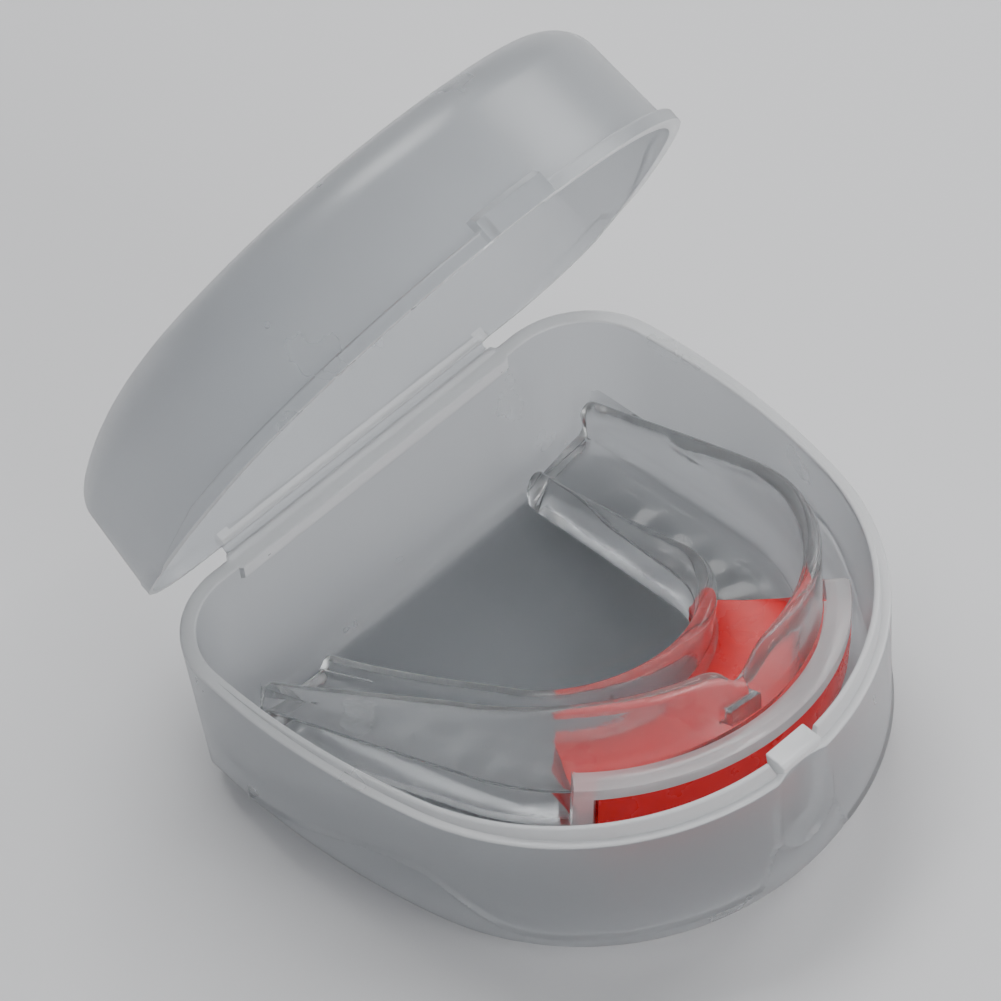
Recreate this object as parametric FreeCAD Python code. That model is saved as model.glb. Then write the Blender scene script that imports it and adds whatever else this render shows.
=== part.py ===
import FreeCAD, Part
import math
import os

from FreeCAD import Vector

# Mouthguard with case.  Millimetres, +Z up, origin at the centre of the base's resting face.
# The hinge runs along X on the +Y side; the latch is at the front, on the -Y side.
# Arcs are (radius, degrees turned), from the front centre round the right-hand side.

# D-shaped outline of the case at its rim
CASE_FRONT = -39.0
CASE_ARCS = [(38.3, 78.0), (117.8, 17.5), (13.2, 84.5)]

# Base
BASE_HEIGHT = 27.0
BASE_DRAFT = 3.2
BASE_WALL = 2.1
BASE_FLOOR = 1.6
BASE_EDGE_OUTER = 10.0
BASE_EDGE_INNER = 8.0
BACK_EDGE_OUTER = 4.0
BACK_EDGE_INNER = 2.0
LIP_INSET = 1.15
LIP_HEIGHT = 2.4
LIP_DRAFT = 3.6
LIP_FADE_Y = 26.0
LIP_NOTCH_HALF = 3.7

# Thumb scoop in the base's front wall
SCOOP_RADIUS = 11.0
SCOOP_DEPTH = 1.0
SCOOP_STRAIGHT = 10.0

# Latch tab: (y, z) corners of its hook
TAB_HALF = 3.3
TAB_INNER = [(-36.95, 25.5), (-35.9, 27.5), (-35.7, 29.6)]
TAB_OUTER = [(-38.6, 29.4), (-39.0, 29.0), (-39.0, 28.2), (-37.7, 27.3), (-37.1, 27.2)]
TAB_SEAT_Y = -37.4
TAB_SEAT_Z = 25.45
TAB_SIDE_GAP = 0.3

# Lid, drawn closed and then turned open
LID_OPEN = 60.5
LID_GAP = 0.05
LID_DRAFT = 3.6
LID_WALL = 0.8
LID_TOP = 0.9
LID_HEIGHT = 22.3
LID_CROWN_RADIUS = 190.0
LID_EDGE = 5.0
FLANGE_REACH = 1.1
FLANGE_HEIGHT = 2.0
FLANGE_FADE_Y = 20.0
FLANGE_FADE_SLOPE = 0.1
BOSS_HALF = 5.5
BOSS_PROFILE = [(1.2, 0.0), (-1.15, 0.0), (-1.15, 3.2), (-0.3, 4.0), (1.2, 4.0)]
POCKET_HALF = 3.65
POCKET_REACH = 0.4
POCKET_HEIGHT = 2.9

# Living hinge between a thick land on the base and one on the lid
HINGE_HALF = 23.3
HINGE_BEHIND = 1.6
HINGE_BELOW = 0.3
LAND_REACH = 0.8
LAND_NEAR = 0.12
LAND_FAR = 1.5
INNER_LAND_REACH = 0.5
INNER_LAND_HEIGHT = 2.0
FILM_LOW = 0.25
FILM_THICK = 0.4
FILM_BULGE = 0.45

# Mouthguard: its own outline, then its place in the case
LABIAL_FRONT = -26.0
LABIAL_ARCS = [(27.0, 50.0), (30.0, 31.0)]
LINGUAL_FRONT = -10.5
LINGUAL_ARCS = [(15.0, 50.0), (12.0, 30.0)]
ARM_END = 26.5
GUARD_BOTTOM = 4.5
CHANNEL_FLOOR = 9.5
GUARD_TALL = 30.0
LABIAL_WALL = 2.2
LINGUAL_WALL = 2.0
GUARD_EDGE = 3.0
LABIAL_TOP = [(-32.0, 25.2), (-12.0, 24.5), (6.0, 20.5), (30.0, 14.0)]
LINGUAL_TOP = [(-32.0, 17.6), (-8.0, 17.2), (6.0, 14.4), (30.0, 11.4)]
FRENUM_RADIUS = 4.0
FRENUM_DEPTH = 4.2
BUMPER_REACH = 3.5
BUMPER_LEFT = -22.4
BUMPER_RIGHT = 19.5
BUMPER_LOW = 7.5
BUMPER_RED_TOP = 14.0
BUMPER_TOP = 15.6
BUMPER_END = 1.6
INSERT_INNER_END = (12.7, -3.2)
INSERT_OUTER_END = (21.5, -14.5)
FRONT_MIDDLE = -4.5
AIR_HOLE_HALF = 2.2
AIR_HOLE_LOW = 16.2
AIR_HOLE_HIGH = 18.6
GUARD_X = 4.8
GUARD_Y = 4.0
GUARD_TURN = 3.0

# The soft guard lies a little skewed: x shifts with y and with z
SKEW_WITH_Y = -0.13
SKEW_WITH_Z = 0.17
SKEW_SHIFT = -0.86

# Cutting tools: longer than anything here, and how far they stand clear of what they cut
FAR = 70.0
CLEAR = 5.0
FIX_TOLERANCE = 0.001


def tangent(degrees):
    return math.tan(math.radians(degrees))


def on_arc(centre, radius, heading, z):
    """Point of an arc travelled counter-clockwise, where it runs in direction heading."""
    angle = math.radians(heading)
    return Vector(centre[0] + radius * math.sin(angle), centre[1] - radius * math.cos(angle), z)


def arc_edge(centre, radius, start, end, z):
    points = [on_arc(centre, radius, h, z) for h in (start, (start + end) / 2, end)]
    return Part.Arc(*points).toShape()


def outline(front, arcs, offset, z):
    """Tangent arcs from the left end round the front to the right end, moved out by offset."""
    radius, heading = arcs[0]
    centre = (0, front + radius)
    edges = [arc_edge(centre, radius + offset, -heading, heading, z)]
    for new_radius, turn in arcs[1:]:
        pivot = on_arc(centre, radius - new_radius, heading, z)
        centre = (pivot.x, pivot.y)
        mirrored = (-pivot.x, pivot.y)
        radius = new_radius
        right = arc_edge(centre, radius + offset, heading, heading + turn, z)
        left = arc_edge(mirrored, radius + offset, -heading - turn, -heading, z)
        edges = [left] + edges + [right]
        heading += turn
    return edges, heading


def u_edges(front, arcs, offset, z, end):
    """Arcs of a U with straight arms that reach to y = end, from the left end to the right."""
    edges, heading = outline(front, arcs, offset, z)
    right = edges[-1].lastVertex().Point
    reach = (end - right.y) / tangent(heading)
    tip = Vector(right.x + reach, end, z)
    left_arm = Part.makeLine(Vector(-tip.x, end, z), Vector(-right.x, right.y, z))
    right_arm = Part.makeLine(right, tip)
    return [left_arm] + edges + [right_arm], tip


def case_wire(inset, z):
    edges = outline(CASE_FRONT, CASE_ARCS, -inset, z)[0]
    start = edges[0].firstVertex().Point
    end = edges[-1].lastVertex().Point
    back = Part.makeLine(Vector(end.x, end.y, z), Vector(start.x, end.y, z))
    return Part.Wire(edges + [back])


def case_back():
    return case_wire(0, 0).BoundBox.YMax


def case_loft(low_inset, low_z, high_inset, high_z):
    return Part.makeLoft([case_wire(low_inset, low_z), case_wire(high_inset, high_z)], True, True)


def edges_at(shape, z):
    return [e for e in shape.Edges if abs(e.BoundBox.ZMin - z) < 0.01 and abs(e.BoundBox.ZMax - z) < 0.01]


def box(x0, x1, y0, y1, z0, z1):
    return Part.makeBox(x1 - x0, y1 - y0, z1 - z0, Vector(x0, y0, z0))


def prism_x(points, half_width):
    """A closed (y, z) polygon drawn out along X, centred on x = 0."""
    corners = [Vector(-half_width, y, z) for y, z in points]
    face = Part.Face(Part.makePolygon(corners + corners[:1]))
    return face.extrude(Vector(2 * half_width, 0, 0))


# ---------------------------------------------------------------- case base

def open_back_wire(inset, z):
    """The case outline without its rear corners: the sides run straight on, far past the back."""
    edges, tip = u_edges(CASE_FRONT, CASE_ARCS[:2], -inset, z, FAR)
    return Part.Wire(edges + [Part.makeLine(tip, Vector(-tip.x, tip.y, z))])


def base_block(low_inset, low_z, high_inset, high_z, edge, back_edge):
    """A drafted block with a wide rounding under the front and sides and a tight one at the back."""
    block = case_loft(low_inset, low_z, high_inset, high_z)
    block = block.makeFillet(back_edge, edges_at(block, low_z))
    sides = Part.makeLoft([open_back_wire(low_inset, low_z), open_back_wire(high_inset, high_z)], True, True)
    under = [e for e in edges_at(sides, low_z) if e.BoundBox.YMin < FAR - 1]
    return block.common(sides.makeFillet(edge, under))


def base_shell():
    slope = tangent(BASE_DRAFT)
    return base_block(BASE_HEIGHT * slope, 0, 0, BASE_HEIGHT, BASE_EDGE_OUTER, BACK_EDGE_OUTER)


def base_cavity():
    slope = tangent(BASE_DRAFT)
    low = BASE_WALL + (BASE_HEIGHT - BASE_FLOOR) * slope
    above = LIP_HEIGHT + 1
    high = BASE_WALL - above * slope
    return base_block(low, BASE_FLOOR, high, BASE_HEIGHT + above, BASE_EDGE_INNER, BACK_EDGE_INNER)


def lip():
    """Raised inner lip the closed lid fits over; it fades out towards the hinge."""
    slope = tangent(LIP_DRAFT)
    top = BASE_HEIGHT + LIP_HEIGHT
    below = BASE_HEIGHT - 1
    ring = case_loft(LIP_INSET - slope, below, LIP_INSET + LIP_HEIGHT * slope, top)
    fade = LIP_HEIGHT / (LIP_FADE_Y - CASE_FRONT)
    above = prism_x(
        [
            (LIP_FADE_Y + FAR, BASE_HEIGHT - FAR * fade),
            (CASE_FRONT - FAR, top + FAR * fade),
            (CASE_FRONT - FAR, BASE_HEIGHT + FAR),
            (LIP_FADE_Y + FAR, BASE_HEIGHT + FAR),
        ],
        FAR,
    )
    notch = box(-LIP_NOTCH_HALF, LIP_NOTCH_HALF, CASE_FRONT, CASE_FRONT + CLEAR, BASE_HEIGHT, top + 1)
    return ring.cut([above.common(box(-FAR, FAR, -FAR, FAR, BASE_HEIGHT, FAR)), notch])


def scoop():
    """Tool for the shallow thumb recess: a leaning cylinder with a ball at its foot."""
    centre = Vector(0, CASE_FRONT + SCOOP_DEPTH - SCOOP_RADIUS, BASE_HEIGHT - SCOOP_STRAIGHT)
    shaft = Part.makeCylinder(SCOOP_RADIUS, SCOOP_STRAIGHT + CLEAR, centre)
    tool = shaft.fuse(Part.makeSphere(SCOOP_RADIUS, centre))
    tool.rotate(Vector(0, CASE_FRONT, BASE_HEIGHT), Vector(1, 0, 0), BASE_DRAFT)
    return tool


def hinge_land(near, far):
    """Thick strip on the outside of the back wall, between two heights measured from the rim."""
    back = case_back()
    strip = box(-HINGE_HALF, HINGE_HALF, back - 0.5, back + LAND_REACH, BASE_HEIGHT + near, BASE_HEIGHT + far)
    upright = [e for e in strip.Edges if e.BoundBox.ZLength > 1 and e.BoundBox.YMin > back]
    return strip.makeFillet(LAND_REACH - 0.1, upright)


def case_base():
    land = hinge_land(-LAND_FAR, -LAND_NEAR)
    body = base_shell().fuse([lip(), land])
    half = TAB_HALF + TAB_SIDE_GAP
    tab_seat = box(-half, half, TAB_SEAT_Y, TAB_SEAT_Y + CLEAR, TAB_SEAT_Z, BASE_HEIGHT + CLEAR)
    body = body.cut([base_cavity(), scoop(), tab_seat])
    inside = case_back() - BASE_WALL
    low = BASE_HEIGHT - INNER_LAND_HEIGHT
    inner_land = box(-HINGE_HALF, HINGE_HALF, inside - INNER_LAND_REACH, inside + 0.5, low, BASE_HEIGHT)
    return body.fuse(inner_land).removeSplitter()


# ---------------------------------------------------------------- latch tab

def latch_tab():
    """Hook that stands up through the gap in the lip."""
    return prism_x(TAB_INNER + TAB_OUTER, TAB_HALF)


# ---------------------------------------------------------------- lid

def open_lid(shape):
    pivot = Vector(0, case_back() + HINGE_BEHIND, BASE_HEIGHT - HINGE_BELOW)
    shape.rotate(pivot, Vector(1, 0, 0), -LID_OPEN)
    return shape


def lid_block(inset, z_low, height, edge):
    """A drafted block under a shallow domed top."""
    slope = tangent(LID_DRAFT)
    low = inset + (z_low - BASE_HEIGHT) * slope
    walls = case_loft(low, z_low, inset + LID_HEIGHT * slope, BASE_HEIGHT + LID_HEIGHT)
    dome = Part.makeSphere(LID_CROWN_RADIUS, Vector(0, 0, BASE_HEIGHT + height - LID_CROWN_RADIUS))
    block = walls.common(dome)
    crown = [f for f in block.Faces if f.Surface.TypeId == "Part::GeomSphere"]
    return block.makeFillet(edge, crown[0].Edges)


def flange():
    """Grip round the lid's front rim; its height fades out on the way to the hinge."""
    rim = BASE_HEIGHT + LID_GAP
    ring = case_loft(-FLANGE_REACH, rim, -FLANGE_REACH, rim + FLANGE_HEIGHT)
    front = CASE_FRONT - CLEAR
    rise = (FLANGE_FADE_Y - front) * FLANGE_FADE_SLOPE
    return ring.common(prism_x([(FLANGE_FADE_Y, rim), (front, rim), (front, rim + rise)], FAR))


def latch_boss():
    """Thicker wall round the pocket that clears the latch tab."""
    rim = BASE_HEIGHT + LID_GAP
    return prism_x([(CASE_FRONT + y, rim + z) for y, z in BOSS_PROFILE], BOSS_HALF)


def case_lid():
    z = BASE_HEIGHT + LID_GAP
    outer = lid_block(0, z, LID_HEIGHT, LID_EDGE)
    inner = lid_block(LID_WALL, BASE_HEIGHT - 1, LID_HEIGHT - LID_TOP, LID_EDGE - LID_WALL)
    front = CASE_FRONT - POCKET_REACH
    pocket = box(-POCKET_HALF, POCKET_HALF, front, CASE_FRONT + CLEAR, z - 1, z + POCKET_HEIGHT)
    lid = outer.fuse([flange(), latch_boss(), hinge_land(LAND_NEAR, LAND_FAR)]).cut([inner, pocket])
    return open_lid(lid.removeSplitter())


# ---------------------------------------------------------------- hinge film

def hinge_film():
    """Thin strip from the base's land to the open lid's land, bulging away from the case."""
    y = case_back() + LAND_REACH
    low = BASE_HEIGHT - FILM_LOW
    high = BASE_HEIGHT + FILM_LOW
    clear_of_lid = 0.02
    inner_end = open_lid(Part.Vertex(0, y + clear_of_lid, high)).Point
    outer_end = open_lid(Part.Vertex(0, y + clear_of_lid, high + FILM_THICK)).Point
    inner_start = Vector(0, y, low)
    outer_start = Vector(0, y, low - FILM_THICK)
    chord = inner_end - inner_start
    outward = Vector(0, chord.z, -chord.y).normalize()
    middle = (inner_start + inner_end) * 0.5 + outward * FILM_BULGE
    face = Part.Face(Part.Wire([
        Part.Arc(inner_start, middle, inner_end).toShape(),
        Part.makeLine(inner_end, outer_end),
        Part.Arc(outer_end, middle + outward * FILM_THICK, outer_start).toShape(),
        Part.makeLine(outer_start, inner_start),
    ]))
    length = 2 * (HINGE_HALF - LAND_REACH)
    film = face.extrude(Vector(length, 0, 0))
    film.translate(Vector(-length / 2, 0, 0))
    return film


# ---------------------------------------------------------------- mouthguard

def arch(outer_offset, inner_offset, z_low, z_high, end=ARM_END):
    """U-shaped block between an offset of the labial outline and one of the lingual outline."""
    outer, outer_tip = u_edges(LABIAL_FRONT, LABIAL_ARCS, outer_offset, z_low, end)
    inner, inner_tip = u_edges(LINGUAL_FRONT, LINGUAL_ARCS, inner_offset, z_low, end)
    right_end = Part.makeLine(outer_tip, inner_tip)
    left_end = Part.makeLine(Vector(-inner_tip.x, end, z_low), Vector(-outer_tip.x, end, z_low))
    face = Part.Face(Part.Wire(Part.__sortEdges__(outer + [right_end] + inner + [left_end])))
    return face.extrude(Vector(0, 0, z_high - z_low))


def labial_disc(offset, z_low, z_high):
    """Everything inside an offset of the labial outline."""
    outer, tip = u_edges(LABIAL_FRONT, LABIAL_ARCS, offset, z_low, ARM_END + CLEAR)
    back = Part.makeLine(tip, Vector(-tip.x, tip.y, z_low))
    return Part.Face(Part.Wire(outer + [back])).extrude(Vector(0, 0, z_high - z_low))


def above_curve(points):
    """Everything above a smooth curve through (y, z) points."""
    curve = Part.BSplineCurve()
    curve.interpolate([Vector(-FAR, y, z) for y, z in points])
    first = points[0]
    last = points[-1]
    corners = [
        Vector(-FAR, last[0], last[1]),
        Vector(-FAR, last[0], FAR),
        Vector(-FAR, first[0], FAR),
        Vector(-FAR, first[0], first[1]),
    ]
    face = Part.Face(Part.Wire([curve.toShape()] + Part.makePolygon(corners).Edges))
    return face.extrude(Vector(2 * FAR, 0, 0))


def bumper(end, z_low, z_high):
    """Crescent in front of the labial wall, stopping short of the bumper's ends."""
    ring = labial_disc(BUMPER_REACH, z_low, z_high).cut(labial_disc(0, z_low, z_high))
    return ring.common(box(BUMPER_LEFT + end, BUMPER_RIGHT - end, -FAR, 0, z_low, z_high))


def insert_front():
    """Everything in front of the two slanting lines where the coloured floor ends."""
    inner_x, inner_y = INSERT_INNER_END
    outer_x, outer_y = INSERT_OUTER_END
    slope = (outer_y - inner_y) / (outer_x - inner_x)
    middle = inner_y - slope * inner_x
    far_y = middle + slope * FAR
    corners = [Vector(0, middle, 0), Vector(FAR, far_y, 0), Vector(-FAR, far_y, 0), Vector(0, middle, 0)]
    return Part.Face(Part.makePolygon(corners)).extrude(Vector(0, 0, FAR))


def guard_insert():
    """Coloured front: the channel's floor and the band round the bumper, in one piece."""
    floor = arch(0, 0, GUARD_BOTTOM, CHANNEL_FLOOR)
    under = [e for e in edges_at(floor, GUARD_BOTTOM) if e.BoundBox.YMin < ARM_END - 1]
    floor = floor.makeFillet(GUARD_EDGE, under)
    floor = floor.common(insert_front())
    band = bumper(BUMPER_END, BUMPER_LOW, BUMPER_RED_TOP)
    return floor.fuse(band).removeSplitter()


def guard_body():
    """The guard with its channel, before the coloured front is taken out."""
    block = arch(0, 0, GUARD_BOTTOM, GUARD_TALL)
    under = [e for e in edges_at(block, GUARD_BOTTOM) if e.BoundBox.YMin < ARM_END - 1]
    block = block.makeFillet(GUARD_EDGE, under)
    channel = arch(-LABIAL_WALL, LINGUAL_WALL, CHANNEL_FLOOR, GUARD_TALL, ARM_END + CLEAR)
    body = block.cut(channel)
    middle = labial_disc(-2 * LABIAL_WALL, CHANNEL_FLOOR, GUARD_TALL)
    outside = labial_disc(CLEAR, CHANNEL_FLOOR, GUARD_TALL).cut(middle)
    body = body.cut(above_curve(LABIAL_TOP).common(outside))
    return body.cut(above_curve(LINGUAL_TOP).common(middle))


def frenum_notch():
    """Rounded notch in the labial wall's top, over the air hole."""
    top = LABIAL_TOP[0][1] - FRENUM_DEPTH + FRENUM_RADIUS
    across = Vector(0, 1, 0)
    return Part.makeCylinder(FRENUM_RADIUS, 2 * CLEAR, Vector(FRONT_MIDDLE, LABIAL_FRONT - CLEAR, top), across)


def guard_shell():
    body = guard_body()
    ledge = bumper(0, BUMPER_LOW, BUMPER_TOP)
    left = FRONT_MIDDLE - AIR_HOLE_HALF
    right = FRONT_MIDDLE + AIR_HOLE_HALF
    back = LABIAL_FRONT + CLEAR
    air_hole = box(left, right, LABIAL_FRONT - 1, back, AIR_HOLE_LOW, AIR_HOLE_HIGH)
    return body.fuse(ledge).cut([frenum_notch(), air_hole, guard_insert()]).removeSplitter()


def place_guard(shape):
    skew = FreeCAD.Matrix(1, SKEW_WITH_Y, SKEW_WITH_Z, SKEW_SHIFT, 0, 1, 0, 0, 0, 0, 1, 0)
    shape = shape.transformGeometry(skew)
    shape.fix(FIX_TOLERANCE, FIX_TOLERANCE, 10 * FIX_TOLERANCE)
    shape.rotate(Vector(0, 0, 0), Vector(0, 0, 1), GUARD_TURN)
    shape.translate(Vector(GUARD_X, GUARD_Y, 0))
    return shape


def main():
    os.makedirs("parts", exist_ok=True)
    pieces = {
        "case_base": case_base(),
        "latch_tab": latch_tab(),
        "case_lid": case_lid(),
        "hinge_film": hinge_film(),
        "guard_shell": place_guard(guard_shell()),
        "guard_insert": place_guard(guard_insert()),
    }
    for name, shape in pieces.items():
        print(name, len(shape.Solids), "solid, valid:", shape.isValid(), "volume:", round(shape.Volume, 1))
        shape.exportStep("parts/" + name + ".step")


main()
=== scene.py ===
import math

import bmesh
import bpy
import numpy as np
from mathutils import Matrix, Vector
from mathutils.geometry import normal, tessellate_polygon


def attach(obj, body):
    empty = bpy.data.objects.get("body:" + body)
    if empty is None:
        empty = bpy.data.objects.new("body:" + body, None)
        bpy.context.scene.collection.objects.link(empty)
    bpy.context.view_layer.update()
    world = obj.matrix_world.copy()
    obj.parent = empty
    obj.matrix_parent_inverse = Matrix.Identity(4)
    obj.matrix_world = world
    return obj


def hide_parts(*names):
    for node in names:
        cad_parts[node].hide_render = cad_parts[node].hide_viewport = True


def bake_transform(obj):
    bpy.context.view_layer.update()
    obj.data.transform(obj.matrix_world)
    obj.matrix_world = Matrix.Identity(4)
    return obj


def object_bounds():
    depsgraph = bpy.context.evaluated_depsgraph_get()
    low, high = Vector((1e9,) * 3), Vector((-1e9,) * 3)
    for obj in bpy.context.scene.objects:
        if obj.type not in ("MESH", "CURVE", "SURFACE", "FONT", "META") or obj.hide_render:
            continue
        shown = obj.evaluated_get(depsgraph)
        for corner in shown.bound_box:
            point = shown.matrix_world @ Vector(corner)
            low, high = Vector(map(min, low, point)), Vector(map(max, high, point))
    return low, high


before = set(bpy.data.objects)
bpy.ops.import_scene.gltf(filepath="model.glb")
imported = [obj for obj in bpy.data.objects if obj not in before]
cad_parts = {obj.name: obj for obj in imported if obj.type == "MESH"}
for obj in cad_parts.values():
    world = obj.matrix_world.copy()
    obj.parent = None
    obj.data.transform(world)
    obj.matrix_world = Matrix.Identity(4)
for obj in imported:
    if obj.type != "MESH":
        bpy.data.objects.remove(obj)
cad_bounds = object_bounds()

MM = 0.001

# Case outline: tangent arcs (radius, degrees) from the front centre round the right-hand side
CASE_FRONT = -39.0
CASE_ARCS = [(38.3, 78.0), (117.8, 17.5), (13.2, 84.5)]
CASE_BACK = 38.98
HALF_SAMPLES = 250
BACK_SAMPLES = 120

# Base
RIM = 27.0
BASE_SLOPE = math.tan(math.radians(3.2))
BASE_EDGE = 10.0
BASE_BACK_EDGE = 4.0
CAVITY_EDGE = 8.0
CAVITY_BACK_EDGE = 2.0
FLOOR_Z = 1.6
WALL = 2.1
LIP_INSET = 1.15
LIP_HEIGHT = 2.4
LIP_FADE_Y = 26.0
LIP_OUTER_ROUND = 0.35
LIP_INNER_ROUND = 0.3
NOTCH_HALF = 3.65
SEAT_INSET = 1.6
SEAT_Z = 25.45
SCOOP_RADIUS = 11.0
SCOOP_DEPTH = 1.0
SCOOP_BALL_Z = 17.0
SCOOP_HALF = 4.6
SCOOP_EDGE_FADE = (19.0, 24.0)
CORNER_SOFT = 0.45

# Raised crease round the base's foot: low in front, arched on the sides, rising to the scoop
CREASE_OUT = 0.45
CREASE_WIDTH = 0.45
CREASE_LOW = 8.2
CREASE_ARCH = 7.8
CREASE_ARCH_Y = -6.5
CREASE_ARCH_BACK = 29.0
CREASE_ARCH_FRONT = 15.5
CREASE_SIDE_X = 26
CREASE_TO_SCOOP = 7.0
CREASE_TURN_X = 8.0
CREASE_GAP_X = 4.4
CREASE_END_Y = 22

# Heights of the base's outer rings: close together where the crease runs, wider above it
FINE_FROM = 6.0
FINE_TO = 18.5
FINE_STEP = 0.3
COARSE_STEP = 0.6

# Rings that close the base's floor and the lid's top, as shares of the outline
BOTTOM_SHARES = (0.02, 0.3, 0.6, 0.85)
TOP_SHARES = (0.95, 0.85, 0.7, 0.5, 0.3, 0.12, 0.02)

# Hinge
LAND_HALF = 23.3
LAND_REACH = 0.8
LAND_LOW = 1.5
INNER_LAND_REACH = 0.5
INNER_LAND_LOW = 2.0
HINGE_Y = 40.6
HINGE_Z = 26.7
LID_OPEN = 60.5
FILM_HALF = 22.9
FILM_TAPER = 22.75
FILM_FULL_HALF = 22.4
FILM_END_SLIM = 0.35
FILM_SAG = 0.45
FILM_BASE_DROPS = (0.2, 0.62)
FILM_LID_RISES = (0.25, 0.68)

# Lid
LID_RIM = 27.05
LID_SLOPE = math.tan(math.radians(3.6))
LID_EDGE = 5.0
LID_WALL = 0.8
LID_TOP = 0.9
LID_HEIGHT = 22.3
LID_SIDE_HEIGHT = 19.3
LID_CROWN = 190.0
FLANGE_REACH = 1.1
FLANGE_HEIGHT = 2.0
FLANGE_FADE_Y = 20.0
FLANGE_FADE_SLOPE = 0.1
BOSS_HALF = 5.5
BOSS_REACH = 1.15
BOSS_HEIGHTS = (0.0, 3.2, 4.0, 4.05)
BOSS_SHARES = (1.0, 1.0, 0.4, 0.0)
POCKET_HALF = 3.65
POCKET_HEIGHT = 2.9
POCKET_DEPTH = 1.2

# Latch tab: (y, z) corners
TAB_HALF = 3.3
TAB_BEVEL = 0.22
TAB_PROFILE = [
    (-36.95, 25.5), (-35.9, 27.5), (-35.7, 29.6), (-38.6, 29.4),
    (-39.0, 29.0), (-39.0, 28.2), (-37.7, 27.3), (-37.1, 27.2),
]

# Mouthguard, in its own frame
LABIAL_FRONT = -26.0
LABIAL_ARCS = [(27.0, 50.0), (30.0, 31.0)]
LINGUAL_FRONT = -10.5
LINGUAL_ARCS = [(15.0, 50.0), (12.0, 30.0)]
ARM_END = 26.5
END_ROUND = 0.7
GUARD_BOTTOM = 4.5
GUARD_EDGE = 3.0
CHANNEL_FLOOR = 9.5
LABIAL_WALL = 2.2
LABIAL_LEAN = 0.5
LABIAL_FOOT = 1.6
LINGUAL_WALL = 2.0
LINGUAL_LEAN = 0.3
LINGUAL_FOOT = 1.2
LINGUAL_SPREAD = 0.15
LINGUAL_HOLLOW = 0.25
RIPPLE_HEIGHT = 0.12
RIPPLE_RATE_X = 0.35
RIPPLE_RATE_Y = 0.9
CHANNEL_SHARE = 0.3
LABIAL_TOP = [(-32.0, 25.2), (-12.0, 24.5), (6.0, 20.5), (30.0, 14.0)]
LINGUAL_TOP = [(-32.0, 17.6), (-8.0, 17.2), (6.0, 14.4), (30.0, 11.4)]
FRONT_MIDDLE = -4.5
FRENUM_HALF = 3.2
FRENUM_DEPTH = 4.2
FRENUM_STEEPNESS = 1.2
BUMPER_REACH = 3.5
BUMPER_LEFT = -22.4
BUMPER_RIGHT = 19.5
BUMPER_END = 1.6
BUMPER_DIP = 0.12
BUMPER_LOW = 7.5
BUMPER_RED_TOP = 14.0
BUMPER_TOP = 15.6
INSERT_OUTER_SHARE = 0.645
INSERT_INNER_SHARE = 0.77
AIR_HOLE_HALF = 2.2
AIR_HOLE_HEIGHTS = (16.2, 18.6)
AIR_HOLE_DEPTHS = (-1, 5)
MILKY_OUT = 0.25
MILKY_OVER = 0.2
GUARD_PLACE = (4.8, 4.0, math.radians(3.0))
GUARD_SKEW = (-0.13, 0.17, -0.86)

# Camera: azimuth, elevation and roll in degrees, distance and aim in millimetres
VIEW = (-38.81, 48.26, -7.66)
DISTANCE = 1069.4
AIM = (-11.0, -0.9, 57.0)
LENS = 317.3


def smooth(x, low, high):
    t = np.clip((x - low) / (high - low), 0, 1)
    return t * t * (3 - 2 * t)


# ---------------------------------------------------------------- outlines

def walk(front, arcs, fractions):
    """Points and outward normals at fractions of the way along a chain of tangent arcs."""
    spans = [math.radians(turn) * radius for radius, turn in arcs]
    points = []
    normals = []
    for fraction in fractions:
        left = fraction * sum(spans)
        radius = arcs[0][0]
        centre = np.array([0.0, front + radius])
        heading = 0.0
        for (new_radius, turn), span in zip(arcs, spans):
            centre = centre + (radius - new_radius) * np.array([math.sin(heading), -math.cos(heading)])
            radius = new_radius
            if left <= span + 1e-9:
                heading += left / radius
                break
            left -= span
            heading += math.radians(turn)
        outward = np.array([math.sin(heading), -math.cos(heading)])
        points.append(centre + radius * outward)
        normals.append(outward)
    return np.array(points), np.array(normals)


def mirrored(points, normals):
    """The half outline from x = 0, with its mirror image put in front, reversed."""
    flip = np.array([-1.0, 1.0])
    return np.vstack([points[:0:-1] * flip, points]), np.vstack([normals[:0:-1] * flip, normals])


def case_outline():
    points, normals = mirrored(*walk(CASE_FRONT, CASE_ARCS, np.linspace(0, 1, HALF_SAMPLES)))
    end = points[-1]
    steps = np.linspace(1, -1, BACK_SAMPLES + 1)[1:-1]
    back = np.column_stack([end[0] * steps, np.full(len(steps), end[1])])
    back_normals = np.tile([0.0, 1.0], (len(steps), 1))
    return np.vstack([points, back]), np.vstack([normals, back_normals])


CASE_P, CASE_N = case_outline()
X = CASE_P[:, 0]
Y = CASE_P[:, 1]
FRONT_SIDE = Y < 0

# The tight rounding at the back starts where the side arcs end
SIDE_END, SIDE_NORMAL = (v[0] for v in walk(CASE_FRONT, CASE_ARCS[:2], [1.0]))
FACING = np.clip(np.abs(CASE_N[:, 0]) * SIDE_NORMAL[0] + CASE_N[:, 1] * SIDE_NORMAL[1], 0.03, None)
BEHIND = (np.abs(X) - SIDE_END[0]) * SIDE_NORMAL[0] + (Y - SIDE_END[1]) * SIDE_NORMAL[1]
PAST_SIDES = Y > SIDE_END[1]
ON_BACK = Y > CASE_BACK - 0.2
AT_HINGE = ON_BACK & (np.abs(X) < LAND_HALF)
FLANGE_RISE = np.clip((FLANGE_FADE_Y - Y) * FLANGE_FADE_SLOPE, 0, FLANGE_HEIGHT)


def case_ring(inset, z):
    xy = CASE_P - CASE_N * np.broadcast_to(inset, X.shape)[:, None]
    return np.column_stack([xy, np.broadcast_to(z, X.shape)])


def shrunk(ring, factor):
    out = ring.copy()
    out[:, :2] *= factor
    return out


# ---------------------------------------------------------------- meshes

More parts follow.
